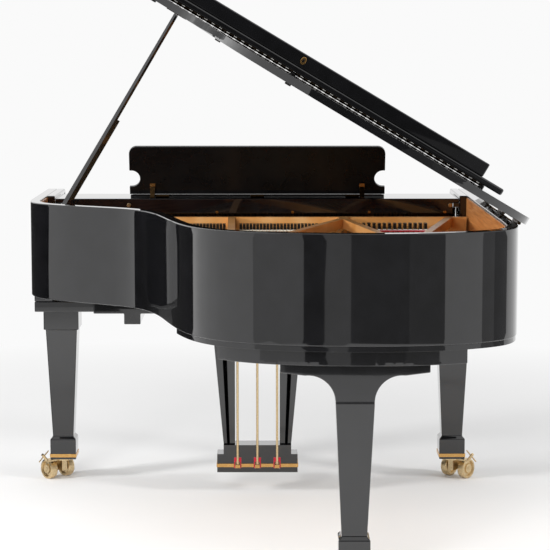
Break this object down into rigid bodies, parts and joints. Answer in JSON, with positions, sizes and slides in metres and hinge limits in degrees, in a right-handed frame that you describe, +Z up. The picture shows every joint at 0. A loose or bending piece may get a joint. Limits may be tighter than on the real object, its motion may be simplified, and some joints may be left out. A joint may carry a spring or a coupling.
{
  "type": "grand piano",
  "caption": "Black lacquered grand piano with its lid propped open, front flap folded back, music desk raised, strung iron frame, pedal lyre and braked casters.",
  "frame": {"origin": "middle of the floor under the whole piano, lid included", "axes": "+X to the treble side, +Y from the keyboard to the tail, +Z up"},
  "size_m": [1.5684, 1.737, 1.8489],
  "materials": {
    "black_lacquer": "high-gloss black lacquer on wood",
    "lining_veneer": "satin-varnished veneer",
    "spruce": "varnished spruce",
    "maple": "planed maple",
    "bronze_paint": "bronze-lacquered casting",
    "polished_brass": "polished",
    "steel_wire": "drawn wire",
    "red_felt": "woven felt",
    "white_keytop": "polished key covering",
    "black_keytop": "satin black",
    "damper_black": "black-stained heads on felt",
    "button_rubber": "moulded rubber"
  },
  "bodies": {
    "case": {"outer_rim": "black_lacquer", "rim_lining": "lining_veneer", "inner_rim": "black_lacquer", "rim_bead": "black_lacquer", "arms": "black_lacquer", "keybed": "black_lacquer", "case_beams": "spruce", "key_slip": "black_lacquer", "key_blocks": "black_lacquer", "nameboard": "black_lacquer", "nameboard_felt": "red_felt", "tray_rails": "black_lacquer", "pinblock": "maple", "iron_plate": "bronze_paint", "plate_bolts": "steel_wire", "soundboard": "spruce", "soundboard_ribs": "spruce", "strings": "steel_wire", "string_pins": "steel_wire", "bridges": "maple", "string_felt": "red_felt", "spine_hinges": "polished_brass", "prop_bracket": "polished_brass", "leg_treble": "black_lacquer", "leg_bass": "black_lacquer", "leg_tail": "black_lacquer", "lyre": "black_lacquer", "brass_bands": "polished_brass", "pedal_felts": "red_felt"},
    "lid": {"main_lid": "black_lacquer", "lid_fittings": "polished_brass", "lid_bumpers": "button_rubber", "flap_hinge": "polished_brass"},
    "flap": {"front_flap": "black_lacquer", "flap_lip": "black_lacquer", "lock_escutcheon": "polished_brass"},
    "prop": {"lid_prop": "black_lacquer"},
    "half_prop": {"half_stick": "black_lacquer"},
    "fall": {"fallboard": "black_lacquer"},
    "tray": {"music_tray": "black_lacquer", "tray_fittings": "polished_brass"},
    "desk": {"music_desk": "black_lacquer"},
    "rests": {"desk_struts": "polished_brass"},
    "action_frame": {"key_frame": "spruce"},
    "naturals": {"white_keys": "white_keytop"},
    "sharps": {"black_keys": "black_keytop"},
    "hammer_set": {"hammers": "maple"},
    "damper_set": {"dampers": "damper_black"},
    "pedal_left": {"pedal_left": "polished_brass"},
    "rod_left": {"pedal_rod_left": "polished_brass"},
    "pedal_middle": {"pedal_middle": "polished_brass"},
    "rod_middle": {"pedal_rod_middle": "polished_brass"},
    "pedal_right": {"pedal_right": "polished_brass"},
    "rod_right": {"pedal_rod_right": "polished_brass"},
    "caster_treble": {"caster_treble": "polished_brass"},
    "wheels_treble": {"wheels_treble": "polished_brass"},
    "caster_bass": {"caster_bass": "polished_brass"},
    "wheels_bass": {"wheels_bass": "polished_brass"},
    "caster_tail": {"caster_tail": "polished_brass"},
    "wheels_tail": {"wheels_tail": "polished_brass"}
  },
  "joints": [
    {"name": "lid_hinge", "type": "hinge", "parent": "case", "child": "lid", "pos_m": [-0.74311, 0, 1.017], "axis": [0, -1, 0], "range_deg": [0, 40]},
    {"name": "flap_fold", "type": "hinge", "parent": "lid", "child": "flap", "pos_m": [-0.76001, -0.5225, 1.04535], "axis": [0.859, 0, 0.512], "range_deg": [0, 180]},
    {"name": "prop_fold", "type": "hinge", "parent": "case", "child": "prop", "pos_m": [0.65789, -0.269, 0.979], "axis": [-0.6231, -0.6883, -0.3715], "range_deg": [0, 64]},
    {"name": "half_prop_fold", "type": "hinge", "parent": "prop", "child": "half_prop", "pos_m": [0.62409, -0.269, 1.03569], "axis": [0.6231, 0.6883, 0.3715], "range_deg": [0, 35]},
    {"name": "fallboard_close", "type": "hinge", "parent": "case", "child": "fall", "pos_m": [0.01289, -0.679, 0.789], "axis": [1, 0, 0], "range_deg": [0, 93]},
    {"name": "tray_slide", "type": "slide", "parent": "case", "child": "tray", "axis": [0, 1, 0], "range_m": [0, 0.1]},
    {"name": "desk_fold", "type": "hinge", "parent": "tray", "child": "desk", "pos_m": [0.01289, -0.573, 1.013], "axis": [-1, 0, 0], "range_deg": [0, 60]},
    {"name": "rest_fold", "type": "hinge", "parent": "tray", "child": "rests", "pos_m": [0.01289, -0.533, 1.0105], "axis": [-1, 0, 0], "range_deg": [0, 108.5]},
    {"name": "una_corda_shift", "type": "slide", "parent": "case", "child": "action_frame", "axis": [1, 0, 0], "range_m": [0, 0.0025]},
    {"name": "natural_press", "type": "hinge", "parent": "action_frame", "child": "naturals", "pos_m": [0.01289, -0.611, 0.713], "axis": [1, 0, 0], "range_deg": [0, 2.4], "stiffness_Nm_per_rad": 20, "springref_deg": -8.59},
    {"name": "sharp_press", "type": "hinge", "parent": "action_frame", "child": "sharps", "pos_m": [0.01289, -0.611, 0.713], "axis": [1, 0, 0], "range_deg": [0, 2.4], "stiffness_Nm_per_rad": 10, "springref_deg": -8.59},
    {"name": "hammer_swing", "type": "hinge", "parent": "action_frame", "child": "hammer_set", "pos_m": [0.01289, -0.551, 0.841], "axis": [1, 0, 0], "range_deg": [0, 16.6]},
    {"name": "damper_lift", "type": "slide", "parent": "case", "child": "damper_set", "axis": [0, 0, 1], "range_m": [0, 0.0082]},
    {"name": "pedal_left_press", "type": "hinge", "parent": "case", "child": "pedal_left", "pos_m": [-0.05411, -0.469, 0.104], "axis": [1, 0, 0], "range_deg": [0, 7], "stiffness_Nm_per_rad": 15, "springref_deg": -5.73},
    {"name": "rod_left_lift", "type": "slide", "parent": "case", "child": "rod_left", "axis": [0, 0, 1], "range_m": [0, 0.007]},
    {"name": "pedal_middle_press", "type": "hinge", "parent": "case", "child": "pedal_middle", "pos_m": [0.01289, -0.469, 0.104], "axis": [1, 0, 0], "range_deg": [0, 7], "stiffness_Nm_per_rad": 15, "springref_deg": -5.73},
    {"name": "rod_middle_lift", "type": "slide", "parent": "case", "child": "rod_middle", "axis": [0, 0, 1], "range_m": [0, 0.007]},
    {"name": "pedal_right_press", "type": "hinge", "parent": "case", "child": "pedal_right", "pos_m": [0.07989, -0.469, 0.104], "axis": [1, 0, 0], "range_deg": [0, 7], "stiffness_Nm_per_rad": 15, "springref_deg": -5.73},
    {"name": "rod_right_lift", "type": "slide", "parent": "case", "child": "rod_right", "axis": [0, 0, 1], "range_m": [0, 0.007]},
    {"name": "caster_treble_swivel", "type": "hinge", "parent": "case", "child": "caster_treble", "pos_m": [0.69689, -0.693, 0.074], "axis": [0, 0, 1], "continuous": true},
    {"name": "wheels_treble_spin", "type": "hinge", "parent": "caster_treble", "child": "wheels_treble", "pos_m": [0.72485, -0.72299, 0.036], "axis": [0.7314, 0.682, 0], "continuous": true},
    {"name": "caster_bass_swivel", "type": "hinge", "parent": "case", "child": "caster_bass", "pos_m": [-0.67111, -0.693, 0.074], "axis": [0, 0, 1], "continuous": true},
    {"name": "wheels_bass_spin", "type": "hinge", "parent": "caster_bass", "child": "wheels_bass", "pos_m": [-0.69907, -0.72299, 0.036], "axis": [0.7314, -0.682, 0], "continuous": true},
    {"name": "caster_tail_swivel", "type": "hinge", "parent": "case", "child": "caster_tail", "pos_m": [-0.26311, 0.731, 0.074], "axis": [0, 0, 1], "continuous": true},
    {"name": "wheels_tail_spin", "type": "hinge", "parent": "caster_tail", "child": "wheels_tail", "pos_m": [-0.24578, 0.69384, 0.036], "axis": [0.9063, 0.4226, 0], "continuous": true}
  ],
  "couplings": [
    {"joint": "rest_fold", "follows": "desk_fold", "ratio": 1.8},
    {"joint": "hammer_swing", "follows": "natural_press", "ratio": 6.9},
    {"joint": "rod_middle_lift", "follows": "pedal_middle_press", "m_per_rad": 0.055},
    {"joint": "rod_right_lift", "follows": "pedal_right_press", "m_per_rad": 0.055},
    {"joint": "pedal_left_press", "follows": "una_corda_shift", "rad_per_m": 48.7},
    {"joint": "rod_left_lift", "follows": "una_corda_shift", "ratio": 2.6785},
    {"joint": "damper_lift", "follows": "pedal_right_press", "m_per_rad": 0.065}
  ]
}
